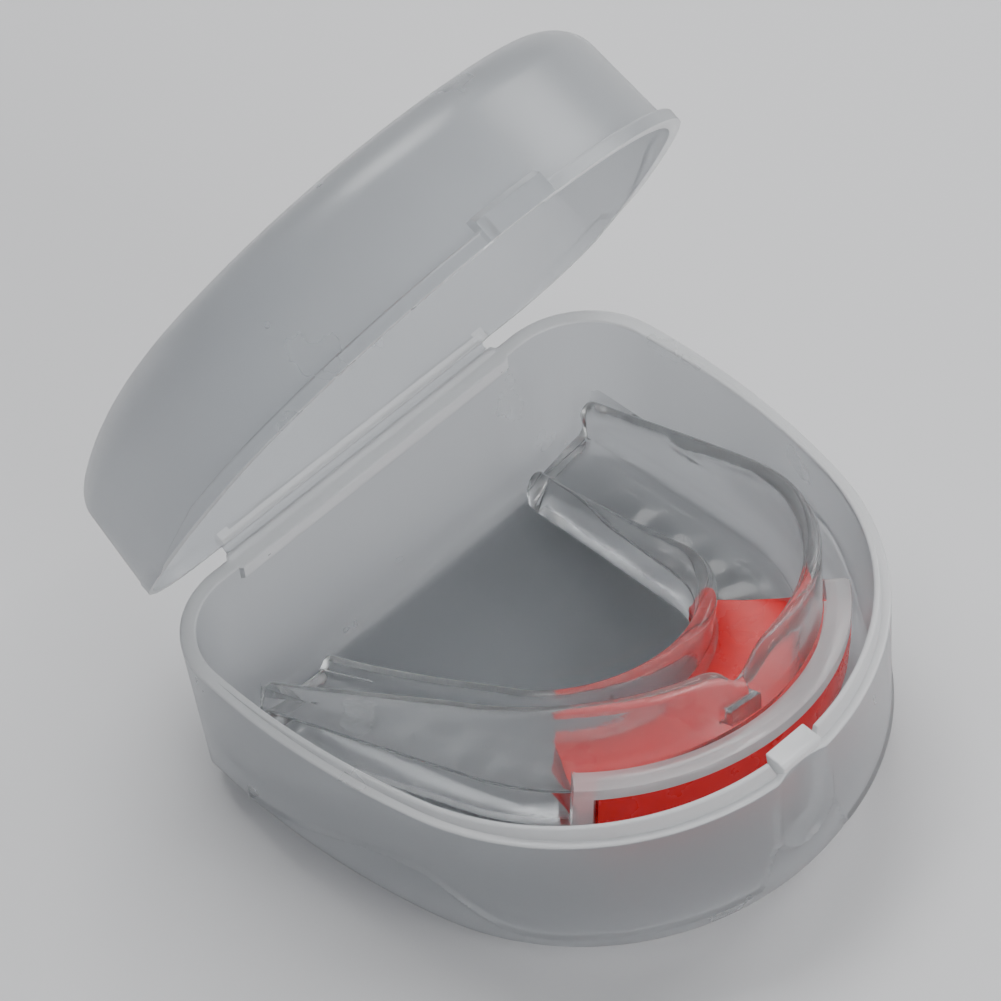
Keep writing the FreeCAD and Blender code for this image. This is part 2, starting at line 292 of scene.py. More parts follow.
def face_outwards(mesh):
    """Turns a closed mesh the right way out."""
    form = bmesh.new()
    form.from_mesh(mesh)
    if form.calc_volume(signed=True) < 0:
        mesh.flip_normals()
    form.free()


def mesh_object(name, vertices, faces, sharp=40):
    mesh = bpy.data.meshes.new(name)
    mesh.from_pydata((np.asarray(vertices) * MM).tolist(), [], faces)
    mesh.validate()
    face_outwards(mesh)
    mesh.polygons.foreach_set("use_smooth", [True] * len(mesh.polygons))
    mesh.set_sharp_from_angle(angle=math.radians(sharp))
    obj = bpy.data.objects.new(name, mesh)
    bpy.context.scene.collection.objects.link(obj)
    return obj


def loop_faces(rows, count):
    """Quads between closed rings, with a fan at each end."""
    faces = []
    for i in range(rows - 1):
        for j in range(count):
            k = (j + 1) % count
            faces.append((i * count + j, i * count + k, (i + 1) * count + k, (i + 1) * count + j))
    first = rows * count
    for j in range(count):
        k = (j + 1) % count
        faces.append((first, k, j))
        faces.append((first + 1, (rows - 1) * count + j, (rows - 1) * count + k))
    return faces


def lathe_like(name, rings, thick_and_highlight):
    """Closed skin through rings of equal count, from the first ring's middle to the last one's.

    Faces between vertices all in the mask take the second material, a lighter, less clear copy that
    stands partly for thicker plastic and partly for painted edge highlight.
    """
    count = len(rings[0])
    centres = [rings[0].mean(axis=0), rings[-1].mean(axis=0)]
    vertices = np.vstack(rings + [np.array(centres)])
    obj = mesh_object(name, vertices, loop_faces(len(rings), count))
    thick_and_highlight = np.append(thick_and_highlight, [False, False])
    for face in obj.data.polygons:
        face.material_index = int(thick_and_highlight[list(face.vertices)].all())
    return obj


def cap_faces(section, first, flip):
    """Triangles that close one end of a skin, whose section may be hollowed like a U."""
    points = [Vector(p) for p in section]
    facing = normal(points)
    faces = []
    for triangle in tessellate_polygon([points]):
        agrees = normal([points[i] for i in triangle]).dot(facing) > 0
        face = tuple(first + i for i in triangle)
        faces.append(face if agrees != flip else face[::-1])
    return faces


def tube_faces(sections):
    """Quads along sections that are closed loops of equal count, with a cap at each end."""
    count = len(sections[0])
    last = len(sections) - 1
    faces = []
    for i in range(last):
        for j in range(count):
            k = (j + 1) % count
            faces.append((i * count + j, (i + 1) * count + j, (i + 1) * count + k, i * count + k))
    return faces + cap_faces(sections[0], 0, False) + cap_faces(sections[last], last * count, True)


# ---------------------------------------------------------------- case base

def scoop_depth(z):
    """How far the thumb scoop bites into the front wall at height z."""
    below = np.maximum(SCOOP_BALL_Z - z, 0)
    inside = np.maximum(SCOOP_RADIUS ** 2 - X ** 2 - below ** 2, 0)
    depth = np.sqrt(inside) - (SCOOP_RADIUS - SCOOP_DEPTH) - X ** 2 / (2 * CASE_ARCS[0][0])
    return np.where(FRONT_SIDE, np.maximum(depth, 0), 0)


def crease_height():
    """Height of the raised crease: low at the front, arched on the sides, up to the scoop."""
    from_top = Y - CREASE_ARCH_Y
    along = np.where(Y > CREASE_ARCH_Y, from_top / CREASE_ARCH_BACK, from_top / CREASE_ARCH_FRONT)
    arch = np.where(np.abs(along) < 1, 0.5 + 0.5 * np.cos(math.pi * np.clip(along, -1, 1)), 0)
    side = np.abs(X) > CREASE_SIDE_X
    to_scoop = np.where(FRONT_SIDE, 1 - smooth(np.abs(X), SCOOP_HALF, CREASE_TURN_X), 0)
    return CREASE_LOW + np.where(side, CREASE_ARCH * arch, 0) + CREASE_TO_SCOOP * to_scoop


def crease(z):
    """Raised line round the foot and round the scoop's lower edge."""
    height = crease_height()
    in_scoop = FRONT_SIDE & (np.abs(X) < CREASE_GAP_X)
    strength = np.where(Y > CREASE_END_Y, 0, 1) * np.where(in_scoop, 0, 1)
    along_foot = strength * np.exp(-(((z - height) / CREASE_WIDTH) ** 2))
    scoop_edge = np.hypot(X, max(SCOOP_BALL_Z - z, 0)) - SCOOP_HALF
    fade = 1 - smooth(z, *SCOOP_EDGE_FADE)
    round_scoop = np.exp(-((scoop_edge / CREASE_WIDTH) ** 2)) * fade * FRONT_SIDE
    return CREASE_OUT * np.maximum(along_foot, round_scoop)


def land(z):
    """Outward step of the hinge land on the back wall."""
    return np.where(AT_HINGE & (z > RIM - LAND_LOW), LAND_REACH, 0)


def foot_inset(wall_inset, floor_z, radius, z):
    """Inset of a rounded foot, and of the drafted wall above it, at height z."""
    top_angle = math.pi / 2 - math.atan(BASE_SLOPE)
    top_z = floor_z + radius * (1 - math.cos(top_angle))
    if z >= top_z:
        return wall_inset(z)
    drop = floor_z + radius - z
    return wall_inset(top_z) + radius * math.sin(top_angle) - math.sqrt(max(radius ** 2 - drop ** 2, 0))


def base_inset(wall_inset, floor_z, edge, back_edge, z):
    """Wide rounding under the front and sides, running straight on past the tight one at the back."""
    wide = foot_inset(wall_inset, floor_z, edge, z)
    tight = foot_inset(wall_inset, floor_z, back_edge, z)
    return np.where(PAST_SIDES, np.maximum(tight, (BEHIND + wide) / FACING), wide)


def foot_heights(floor_z, edge, back_edge):
    """Heights that sample both roundings of a foot evenly, the floor included."""
    heights = set()
    for radius in (edge, back_edge):
        for angle in np.linspace(0, 1.5, 17):
            heights.add(round(floor_z + radius * (1 - math.cos(angle)), 4))
    return sorted(heights)


def base_outer_inset(z):
    return (RIM - z) * BASE_SLOPE


def base_inner_inset(z):
    return WALL + (RIM - z) * BASE_SLOPE


def lip_height():
    height = LIP_HEIGHT * np.clip((LIP_FADE_Y - Y) / (LIP_FADE_Y - CASE_FRONT), 0, 1)
    notch = np.where(FRONT_SIDE, smooth(np.abs(X), NOTCH_HALF, NOTCH_HALF + CORNER_SOFT), 1)
    return height * notch


def base_outer_rows():
    low = [z for z in foot_heights(0, BASE_EDGE, BASE_BACK_EDGE) if z < FINE_FROM]
    fine = np.arange(FINE_FROM, FINE_TO, FINE_STEP)
    coarse = np.arange(FINE_TO + FINE_STEP, RIM - LAND_LOW - 0.1, COARSE_STEP)
    edge = [RIM - LAND_LOW, RIM - LAND_LOW + 0.04, RIM - 0.9, RIM - 0.4]
    rows = []
    for z in low + list(fine) + list(coarse) + edge:
        inset = base_inset(base_outer_inset, 0, BASE_EDGE, BASE_BACK_EDGE, z)
        rows.append(case_ring(inset + scoop_depth(z) - crease(z) - land(z), z))
    return [shrunk(rows[0], share) for share in BOTTOM_SHARES] + rows


def base_rim_rows():
    scoop = scoop_depth(RIM)
    step = land(RIM)
    height = lip_height()
    outer_round = np.minimum(LIP_OUTER_ROUND, height / 2)
    seat = FRONT_SIDE & (np.abs(X) < NOTCH_HALF + 0.2)
    inner = np.where(seat, SEAT_INSET, WALL) + np.where(AT_HINGE, INNER_LAND_REACH, 0)
    rows = [
        case_ring(0.03 + scoop - step, RIM - 0.22),
        case_ring(0.12 + scoop - step, RIM - 0.08),
        case_ring(0.32 + np.minimum(scoop, 0.75) - step, RIM),
        case_ring(LIP_INSET - 0.04, RIM),
        case_ring(LIP_INSET, RIM + 0.02 * height),
        case_ring(LIP_INSET + 0.03 * height, RIM + 0.5 * height),
    ]
    for angle in np.linspace(0, math.pi / 2, 6):
        inset = LIP_INSET + 0.063 * height + outer_round * (1 - math.cos(angle))
        rows.append(case_ring(inset, RIM + height - outer_round * (1 - math.sin(angle))))
    for angle in np.linspace(0, math.pi / 2, 6):
        inset = inner - LIP_INNER_ROUND * (1 - math.sin(angle))
        rows.append(case_ring(inset, RIM + height - LIP_INNER_ROUND * (1 - math.cos(angle))))
    for z in (SEAT_Z + 0.6, SEAT_Z + 0.05):
        wall = np.where(seat, SEAT_INSET, base_inner_inset(z))
        rows.append(case_ring(np.where(AT_HINGE, WALL + INNER_LAND_REACH, wall), z))
    return rows


def base_inner_rows():
    step = RIM - INNER_LAND_LOW
    foot = foot_heights(FLOOR_Z, CAVITY_EDGE, CAVITY_BACK_EDGE)
    rows = []
    for z in foot + list(np.linspace(foot[-1] + 0.8, step - 0.5, 14)) + [step - 0.05]:
        inset = base_inset(base_inner_inset, FLOOR_Z, CAVITY_EDGE, CAVITY_BACK_EDGE, z)
        rows.append(case_ring(inset, z))
    for z in (step, SEAT_Z - 0.05):
        rows.append(case_ring(np.where(AT_HINGE, WALL + INNER_LAND_REACH, base_inner_inset(z)), z))
    bottom = [shrunk(rows[0], share) for share in BOTTOM_SHARES]
    return (bottom + rows)[::-1]


def build_base():
    rings = base_outer_rows() + base_rim_rows() + base_inner_rows()
    vertices = np.vstack(rings)
    land_front = CASE_BACK - WALL - INNER_LAND_REACH - 0.1
    at_land = (np.abs(vertices[:, 0]) < LAND_HALF) & (vertices[:, 1] > land_front)
    # Rim top, lip and hinge land get the lighter material: partly thicker plastic, partly painted
    # highlight on these bands
    thick_and_highlight = vertices[:, 2] > RIM - np.where(at_land, INNER_LAND_LOW + 0.03, 0.25)
    obj = lathe_like("base_shell", rings, thick_and_highlight)
    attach(obj, "base")
    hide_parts("case_base")
    return obj


# ---------------------------------------------------------------- lid

def opened(vertices):
    """Turns closed-lid coordinates to the open rest pose, about the hinge axis."""
    angle = math.radians(LID_OPEN)
    y = vertices[:, 1] - HINGE_Y
    z = vertices[:, 2] - HINGE_Z
    out = vertices.copy()
    out[:, 1] = HINGE_Y + y * math.cos(angle) + z * math.sin(angle)
    out[:, 2] = HINGE_Z - y * math.sin(angle) + z * math.cos(angle)
    return out


def lid_ring(inset, flat_z, top_drop=0.0):
    """A ring of the lid; heights stretch to the domed top above each point."""
    ring = case_ring(inset, 0)
    height = LID_HEIGHT - top_drop - (ring[:, 0] ** 2 + ring[:, 1] ** 2) / (2 * LID_CROWN)
    ring[:, 2] = LID_RIM + flat_z / (LID_SIDE_HEIGHT - top_drop) * height
    return ring


def lid_dome(ring, factor, top_drop=0.0):
    out = shrunk(ring, factor)
    out[:, 2] = LID_RIM + LID_HEIGHT - top_drop - (out[:, 0] ** 2 + out[:, 1] ** 2) / (2 * LID_CROWN)
    return out


def boss(z):
    """Inset of the thicker wall round the latch pocket, as a share of its reach."""
    return np.interp(z, BOSS_HEIGHTS, BOSS_SHARES)


def pocket(z):
    """Hollow behind the boss that clears the tab."""
    heights = [0.0, POCKET_HEIGHT - 0.05, POCKET_HEIGHT + 0.05]
    depth = np.interp(z, heights, [POCKET_DEPTH, POCKET_DEPTH, 0.0])
    width = 1 - smooth(np.abs(X), POCKET_HALF, POCKET_HALF + CORNER_SOFT)
    return np.where(FRONT_SIDE, depth * width, 0)


def lid_outer_row(wall, share, z):
    """Lid ring whose flange stands out by a share of its reach."""
    flange = np.where(Y < FLANGE_FADE_Y, FLANGE_REACH * np.clip(FLANGE_RISE / 0.5, 0, 1), 0)
    inset = wall * (1 - share) - flange * share
    at_boss = FRONT_SIDE & (np.abs(X) < BOSS_HALF)
    out = boss(z) * (BOSS_REACH + X ** 2 / (2 * CASE_ARCS[0][0]))
    inset = np.where(at_boss, np.minimum(wall * (1 - boss(z)) - out, inset), inset)
    return lid_ring(np.where(AT_HINGE & (z < LAND_LOW), -LAND_REACH, inset), z)


def lid_low_rows():
    """Outer rings from the rim up over the flange, the boss and the hinge land."""
    past_fade = smooth(Y, FLANGE_FADE_Y, FLANGE_FADE_Y + 6)
    sink = np.where(Y < FLANGE_FADE_Y, FLANGE_RISE / FLANGE_HEIGHT, past_fade)
    scale = FLANGE_HEIGHT * np.maximum(sink, 0.06)
    rows = []
    straight = [(level, 1) for level in (0.13, 0.3, 0.5, 0.745, 0.755, 0.86)]
    rounded = [(0.95, 0.9), (1.0, 0.72), (1.01, 0.3), (1.05, 0.0)]
    for level, share in straight + rounded:
        z = scale * level
        rows.append(lid_outer_row(z * LID_SLOPE, share, z))
    for z in (2.3, 2.9, 3.2, 3.5, 3.8, 4.0, 4.1, 4.4):
        rows.append(lid_outer_row(z * LID_SLOPE, 0, np.full(len(X), z)))
    return rows


def lid_high_rows(wall, drop, radius):
    """Rings from above the low rows up the wall and round the edge to where the dome starts."""
    height = LID_SIDE_HEIGHT - drop
    top_angle = math.pi / 2 - math.atan(LID_SLOPE)
    bend_z = height - radius + radius * math.cos(top_angle)
    centre = wall + bend_z * LID_SLOPE + radius * math.sin(top_angle)
    rows = [lid_ring(wall + z * LID_SLOPE, z, drop) for z in np.linspace(5.5, bend_z, 10)]
    for angle in np.linspace(top_angle, 0, 14)[1:]:
        inset = centre - radius * math.sin(angle)
        rows.append(lid_ring(inset, height - radius * (1 - math.cos(angle)), drop))
    return rows


def build_lid():
    outer = lid_low_rows() + lid_high_rows(0, 0, LID_EDGE)
    low = [0.25, 0.6, 1.2, 1.8, 2.3, POCKET_HEIGHT - 0.05, POCKET_HEIGHT + 0.05, 3.6, 4.4]
    inner = [lid_ring(LID_WALL + z * LID_SLOPE - pocket(z), z, LID_TOP) for z in low]
    inner += lid_high_rows(LID_WALL, LID_TOP, LID_EDGE - LID_WALL)
    outer_top = [lid_dome(outer[-1], share) for share in TOP_SHARES]
    inner_top = [lid_dome(inner[-1], share, LID_TOP) for share in TOP_SHARES]
    outer_corner = lid_outer_row(0, 1, np.full(len(X), 0.08))
    outer_rim = outer_corner.copy()
    outer_rim[:, :2] -= 0.15 * CASE_N
    outer_rim[:, 2] = LID_RIM
    rim = [
        outer_corner,
        outer_rim,
        case_ring(LID_WALL - 0.2 - pocket(0), LID_RIM),
        case_ring(LID_WALL - 0.04 - pocket(0), LID_RIM + 0.08),
    ]
    rings = outer_top[::-1] + outer[::-1] + rim + inner + inner_top
    closed = np.vstack(rings)
    # Lid rim and hinge land get the lighter material: partly thicker plastic, partly painted highlight
    # on these bands
    at_rim = closed[:, 2] < LID_RIM + np.where(closed[:, 1] > CASE_BACK - 1.2, LAND_LOW + 0.1, 0.1)
    thick_and_highlight = at_rim & ((np.abs(closed[:, 0]) < LAND_HALF) | (closed[:, 1] < CASE_BACK - 1.2))
    obj = lathe_like("lid_shell", [opened(r) for r in rings], thick_and_highlight)
    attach(obj, "lid")
    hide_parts("case_lid")
    return obj


# ---------------------------------------------------------------- hinge film and latch tab

def build_film():
    """Concave strip between the two hinge lands, built bent for the lid's open pose."""
    y = CASE_BACK + LAND_REACH
    starts = [(y, RIM - drop) for drop in FILM_BASE_DROPS]
    ends = [opened(np.array([[0, y, RIM + rise]]))[0, 1:] for rise in FILM_LID_RISES]
    profile = []
    for start, end, order in zip(starts, ends, (1, -1)):
        start = np.array(start)
        chord = end - start
        outward = np.array([chord[1], -chord[0]]) / np.linalg.norm(chord)
        steps = np.linspace(0, 1, 13)
        curve = [start + chord * t + outward * 4 * FILM_SAG * t * (1 - t) for t in steps]
        profile += curve[::order]
    profile = np.array(profile)
    middle = profile.mean(axis=0)
    sections = []
    body = np.linspace(-FILM_FULL_HALF, FILM_FULL_HALF, 61)
    for x in np.concatenate([[-FILM_HALF, -FILM_TAPER], body, [FILM_TAPER, FILM_HALF]]):
        slim = 1 - FILM_END_SLIM * smooth(abs(x), FILM_FULL_HALF, FILM_HALF)
        loop = middle + (profile - middle) * slim
        sections.append(np.column_stack([np.full(len(loop), x), loop]))
    obj = mesh_object("hinge_strip", np.vstack(sections), tube_faces(sections))
    start = Vector((0, starts[0][0] * MM, starts[0][1] * MM))
    end = Vector((0, ends[0][0] * MM, ends[0][1] * MM))
    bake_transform(obj)
    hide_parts("hinge_film")
    return obj


def build_tab():
    sections = [[(x, y, z) for y, z in TAB_PROFILE] for x in (-TAB_HALF, TAB_HALF)]
    vertices = np.array(sections).reshape(-1, 3)
    obj = mesh_object("latch_hook", vertices, tube_faces(sections), sharp=60)
    bevel(obj, TAB_BEVEL)
    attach(obj, "latch")
    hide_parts("latch_tab")
    return obj


def bevel(obj, width):
    modifier = obj.modifiers.new("edge", "BEVEL")
    modifier.width = width * MM
    modifier.segments = 3
    modifier.limit_method = "ANGLE"
    modifier.angle_limit = math.radians(30)


# ---------------------------------------------------------------- mouthguard

def guard_outline(front, arcs, arc_steps, arm_steps):
    """Open U with straight arms, sampled alike for the labial and the lingual outline."""
    points, normals = walk(front, arcs, np.linspace(0, 1, arc_steps + 1))
    along = np.array([-normals[-1][1], normals[-1][0]])
    reach = (ARM_END - points[-1][1]) / along[1]
    steps = np.linspace(0, 1, arm_steps + 1)[1:, None]
    points = np.vstack([points, points[-1] + along * reach * steps])
    normals = np.vstack([normals, np.tile(normals[-1], (arm_steps, 1))])
    return mirrored(points, normals)


def guard_arms():
    labial = guard_outline(LABIAL_FRONT, LABIAL_ARCS, 150, 80)
    lingual = guard_outline(LINGUAL_FRONT, LINGUAL_ARCS, 150, 80)
    return labial + lingual


LAB_P, LAB_N, LIN_P, LIN_N = guard_arms()


def height_along(y, table):
    ys, zs = zip(*table)
    coefficients = np.polyfit(ys, zs, 3)
    return np.polyval(coefficients, y)


def placed(vertices):
    """From the guard's own frame to its place in the case, a little skewed."""
    dx, dy, turn = GUARD_PLACE
    with_y, with_z, shift = GUARD_SKEW
    x = vertices[:, 0] + with_y * vertices[:, 1] + with_z * vertices[:, 2] + shift
    y = vertices[:, 1]
    out = vertices.astype(float)
    out[:, 0] = x * math.cos(turn) - y * math.sin(turn) + dx
    out[:, 1] = x * math.sin(turn) + y * math.cos(turn) + dy
    return out


def end_rounding():
    """How much each section shrinks towards the arm ends."""
    distance = np.minimum(ARM_END - LAB_P[:, 1], END_ROUND)
    return END_ROUND - np.sqrt(np.maximum(END_ROUND ** 2 - (END_ROUND - distance) ** 2, 0))


def labial(offset, z):
    xy = LAB_P - LAB_N * np.broadcast_to(offset, LAB_P[:, 0].shape)[:, None]
    return np.column_stack([xy, np.broadcast_to(z, LAB_P[:, 0].shape)])


def lingual(offset, z):
    xy = LIN_P + LIN_N * np.broadcast_to(offset, LIN_P[:, 0].shape)[:, None]
    return np.column_stack([xy, np.broadcast_to(z, LIN_P[:, 0].shape)])


def between(a, b, t, lift=0.0):
    out = a * (1 - t) + b * t
    out[:, 2] += lift
    return out


def section_skin(columns, keep=None):
    """Vertices and faces of a skin whose columns are lines along the arch, or the kept part of it."""
    stack = np.stack(columns, axis=1)
    if keep is not None:
        stack = stack[keep]
    return stack.reshape(-1, 3), tube_faces(stack)


def within_bumper(x, end):
    """1 along the bumper, stopping short of its ends, and 0 elsewhere."""
    left = smooth(x, BUMPER_LEFT + end - 0.2, BUMPER_LEFT + end + 0.1)
    right = 1 - smooth(x, BUMPER_RIGHT - end - 0.1, BUMPER_RIGHT - end + 0.2)
    return left * right


def wall_foot(side, shrink, angles):
    """Rounded lower edge of one wall."""
    columns = []
    for angle in angles:
        offset = GUARD_EDGE * (1 - math.sin(angle)) + shrink
        columns.append(side(offset, GUARD_BOTTOM + shrink + GUARD_EDGE * (1 - math.cos(angle))))
    return columns


def wall_top(side, top, half, lean, shrink, angles):
    """Rounded upper edge of one wall. Towards the arm's end its channel side closes in less."""
    columns = []
    for angle in angles:
        offset = lean + half - half * math.cos(angle)
        closing = 1 if angle < math.pi / 2 else -CHANNEL_SHARE
        columns.append(side(offset + shrink * closing, top - half + half * math.sin(angle)))
    return columns


def bumper_columns(x, at_front, shrink):
    """Clear end blocks and clear ledge round the place of the red band."""
    full = np.where(at_front, within_bumper(x, 0), 0) * BUMPER_REACH
    block = full * (1 - within_bumper(x, BUMPER_END))
    dip = BUMPER_DIP * full / BUMPER_REACH
    return [
        labial(shrink - block, BUMPER_LOW + 0.15),
        labial(shrink - block, BUMPER_RED_TOP - 0.2),
        labial(shrink - block, BUMPER_RED_TOP),
        labial(shrink - full, BUMPER_RED_TOP + 0.02),
        labial(shrink - full, BUMPER_TOP - 0.4),
        labial(shrink - full * 0.965, BUMPER_TOP - 0.1),
        labial(shrink - full * 0.87, BUMPER_TOP),
        labial(shrink - full * 0.55, BUMPER_TOP + 0.05 - 2 * dip),
        labial(shrink - full * 0.45, BUMPER_TOP + 0.1 - 2 * dip),
        labial(shrink - full * 0.12, BUMPER_TOP + 0.15),
        labial(shrink, BUMPER_TOP + 0.35),
    ]


def labial_wall_columns(top, shrink):
    """Outer wall from above the bumper, over its top edge and down into the channel."""
    half = LABIAL_WALL / 2
    columns = []
    for t in (0.3, 0.6, 0.85):
        z = (BUMPER_TOP + 0.35) * (1 - t) + (top - half) * t
        columns.append(labial(shrink + LABIAL_LEAN * t, z))
    columns += wall_top(labial, top, half, LABIAL_LEAN, shrink, np.linspace(0, math.pi, 9))
    for t in (0.3, 0.6, 0.85):
        z = (top - half) * (1 - t) + (CHANNEL_FLOOR + LABIAL_FOOT) * t
        columns.append(labial(LABIAL_WALL + LABIAL_LEAN * (1 - t) - CHANNEL_SHARE * shrink, z))
    return columns


def channel_columns(x, y, lingual_rise, shrink):
    """Floor of the channel, rounded up into both walls and slightly rippled."""
    columns = []
    for angle in np.linspace(0, math.pi / 2, 5):
        offset = LABIAL_WALL + LABIAL_FOOT * (1 - math.cos(angle)) - CHANNEL_SHARE * shrink
        columns.append(labial(offset, CHANNEL_FLOOR + LABIAL_FOOT * (1 - math.sin(angle))))
    labial_foot = labial(LABIAL_WALL + LABIAL_FOOT, CHANNEL_FLOOR)
    lingual_foot = lingual(LINGUAL_WALL + LINGUAL_FOOT, CHANNEL_FLOOR)
    ripple = RIPPLE_HEIGHT * np.sin(y * RIPPLE_RATE_Y) * np.cos(x * RIPPLE_RATE_X)
    for t in (0.2, 0.4, 0.6, 0.8):
        columns.append(between(labial_foot, lingual_foot, t, ripple))
    for angle in np.linspace(math.pi / 2, 0, 5):
        offset = LINGUAL_WALL + LINGUAL_FOOT * (1 - math.cos(angle)) - CHANNEL_SHARE * shrink
        columns.append(lingual(offset, CHANNEL_FLOOR + lingual_rise * (1 - math.sin(angle))))
    return columns


def lingual_wall_columns(top, half, rise, shrink):
    """Inner wall from the channel over its top edge and down the inside of the arch."""
    columns = []
    for t in (0.4, 0.8):
        z = (CHANNEL_FLOOR + rise) * (1 - t) + (top - half) * t
        columns.append(lingual(LINGUAL_WALL + LINGUAL_LEAN * t - CHANNEL_SHARE * shrink, z))
    columns += wall_top(lingual, top, half, 0, shrink, np.linspace(math.pi, 0, 9))
    for t in (0.3, 0.65):
        z = (top - half) * (1 - t) + (GUARD_BOTTOM + GUARD_EDGE) * t
        columns.append(lingual(shrink - LINGUAL_HOLLOW * math.sin(math.pi * t), z))
    return columns


def guard_shell_columns():
    """Lines along the arch, in order round the tray's section."""
    shrink = end_rounding()
    x = LAB_P[:, 0]
    y = LAB_P[:, 1]
    at_front = y < 0
    from_middle = (x - FRONT_MIDDLE) / FRENUM_HALF
    frenum = FRENUM_DEPTH * np.exp(-(from_middle ** 2) * FRENUM_STEEPNESS) * at_front
    labial_top = height_along(y, LABIAL_TOP) - frenum - shrink
    lingual_top = height_along(LIN_P[:, 1], LINGUAL_TOP) - shrink
    lingual_half = LINGUAL_WALL / 2 + LINGUAL_SPREAD
    lingual_rise = np.clip(lingual_top - lingual_half - CHANNEL_FLOOR - 0.05, 0.2, LINGUAL_FOOT)
    quarter = np.linspace(0, math.pi / 2, 6)
    columns = wall_foot(labial, shrink, quarter)
    columns += bumper_columns(x, at_front, shrink)
    columns += labial_wall_columns(labial_top, shrink)
    columns += channel_columns(x, y, lingual_rise, shrink)
    columns += lingual_wall_columns(lingual_top, lingual_half, lingual_rise, shrink)
    columns += wall_foot(lingual, shrink, quarter[::-1])
    return columns


def beyond_wall(point):
    """How far a point of the front stands outside the labial outline."""
    radius = LABIAL_ARCS[0][0]
    return math.hypot(point[0], point[1] - LABIAL_FRONT - radius) - radius if point[1] < 0 else 0


def air_hole_cutter():
    """Box through the labial wall where the air hole is."""
    front, back = (LABIAL_FRONT + depth for depth in AIR_HOLE_DEPTHS)
    low, high = AIR_HOLE_HEIGHTS
    profile = ((front, low), (back, low), (back, high), (front, high))
    sides = (FRONT_MIDDLE - AIR_HOLE_HALF, FRONT_MIDDLE + AIR_HOLE_HALF)
    sections = [[(x, y, z) for y, z in profile] for x in sides]
    return mesh_object("air_hole", placed(np.array(sections).reshape(-1, 3)), tube_faces(sections))


def cut_with(obj, cutter):
    """Cuts a hole for good and removes the cutter."""
    modifier = obj.modifiers.new("cut", "BOOLEAN")
    modifier.operation = "DIFFERENCE"
    modifier.solver = "EXACT"
    modifier.use_self = True
    modifier.object = cutter
    depsgraph = bpy.context.evaluated_depsgraph_get()
    mesh = bpy.data.meshes.new_from_object(obj.evaluated_get(depsgraph))
    obj.modifiers.clear()
    obj.data = mesh
    bpy.data.objects.remove(cutter)


def build_guard_shell(materials):
    """Clear tray. The bumper's ledge and ends take the second, milky material."""
    vertices, faces = section_skin(guard_shell_columns())
    obj = mesh_object("guard_clear_shell", placed(vertices), faces)
    paint(materials, obj)
    for face in obj.data.polygons:
        middle = vertices[list(face.vertices)].mean(axis=0)
        in_height = BUMPER_LOW < middle[2] < BUMPER_TOP + MILKY_OVER
        in_width = BUMPER_LEFT - BUMPER_REACH < middle[0] < BUMPER_RIGHT + BUMPER_REACH
        face.material_index = int(in_height and in_width and beyond_wall(middle) > MILKY_OUT)
    cut_with(obj, air_hole_cutter())
    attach(obj, "guard")
    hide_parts("guard_shell")
    return obj


def insert_outlines():
    """The stretches of the two outlines that the coloured floor spans."""
    steps = np.linspace(0, 1, 120)
    outer = mirrored(*walk(LABIAL_FRONT, LABIAL_ARCS, INSERT_OUTER_SHARE * steps))
    inner = mirrored(*walk(LINGUAL_FRONT, LINGUAL_ARCS, INSERT_INNER_SHARE * steps))
    return outer, inner


def line(outline, offset, z):
    """Points along an outline, moved along its normals by offset, at height z."""
    points, normals = outline
    xy = points + normals * offset
    return np.column_stack([xy, np.full(len(xy), z)])


def red_floor():
    """Coloured floor under the front of the channel."""
    proud = 0.04
    outer, inner = insert_outlines()
    top = CHANNEL_FLOOR + 0.16
    foot = []
    for angle in np.linspace(0, math.pi / 2, 6):
        foot.append((GUARD_EDGE * (1 - math.sin(angle)), GUARD_EDGE * (1 - math.cos(angle))))
    columns = [line(outer, proud - inset, GUARD_BOTTOM - proud + rise) for inset, rise in foot]
    columns.append(line(outer, proud, CHANNEL_FLOOR - 0.2))
    columns.append(line(outer, proud - 0.2, CHANNEL_FLOOR))
    columns += [line(outer, -LABIAL_WALL, CHANNEL_FLOOR), line(outer, -LABIAL_WALL - 0.6, top)]
    columns += [line(inner, LINGUAL_WALL + 0.6, top), line(inner, LINGUAL_WALL, CHANNEL_FLOOR)]
    columns += [line(inner, 0.2 - proud, CHANNEL_FLOOR), line(inner, -proud, CHANNEL_FLOOR - 0.2)]
    columns += [line(inner, inset - proud, GUARD_BOTTOM - proud + rise) for inset, rise in foot[::-1]]
    return section_skin(columns)


def red_band():
    """Coloured band round the bumper."""
    keep = (within_bumper(LAB_P[:, 0], BUMPER_END) > 0.5) & (LAB_P[:, 1] < 0)
    low = BUMPER_LOW + 0.1
    high = BUMPER_RED_TOP - 0.02
    reach = BUMPER_REACH
    columns = [
        labial(-0.05, high),
        labial(-0.05, low),
        labial(-reach + 1.0, low),
        labial(-reach + 0.3, low + 0.25),
        labial(-reach, low + 1.0),
        labial(-reach - 0.08, (low + high) / 2),
        labial(-reach, high - 0.3),
        labial(-reach + 0.1, high),
    ]
    return section_skin(columns, keep)


def build_guard_insert():
    floor_vertices, floor_faces = red_floor()
    band_vertices, band_faces = red_band()
    shift = len(floor_vertices)
    faces = floor_faces + [tuple(i + shift for i in face) for face in band_faces]
    vertices = np.vstack([floor_vertices, band_vertices])
    obj = mesh_object("guard_red_insert", placed(vertices), faces)
    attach(obj, "guard")
    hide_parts("guard_insert")
    return obj


# ---------------------------------------------------------------- materials

def new_material(name):
    material = bpy.data.materials.new(name)
    material.use_nodes = True
    return material, material.node_tree, material.node_tree.nodes["Principled BSDF"]


def noise(tree, scale, detail=4.0):
    coordinates = tree.nodes.new("ShaderNodeTexCoord")
    texture = tree.nodes.new("ShaderNodeTexNoise")
    texture.inputs["Scale"].default_value = scale
    texture.inputs["Detail"].default_value = detail
    tree.links.new(coordinates.outputs["Object"], texture.inputs["Vector"])
    return texture.outputs["Fac"]


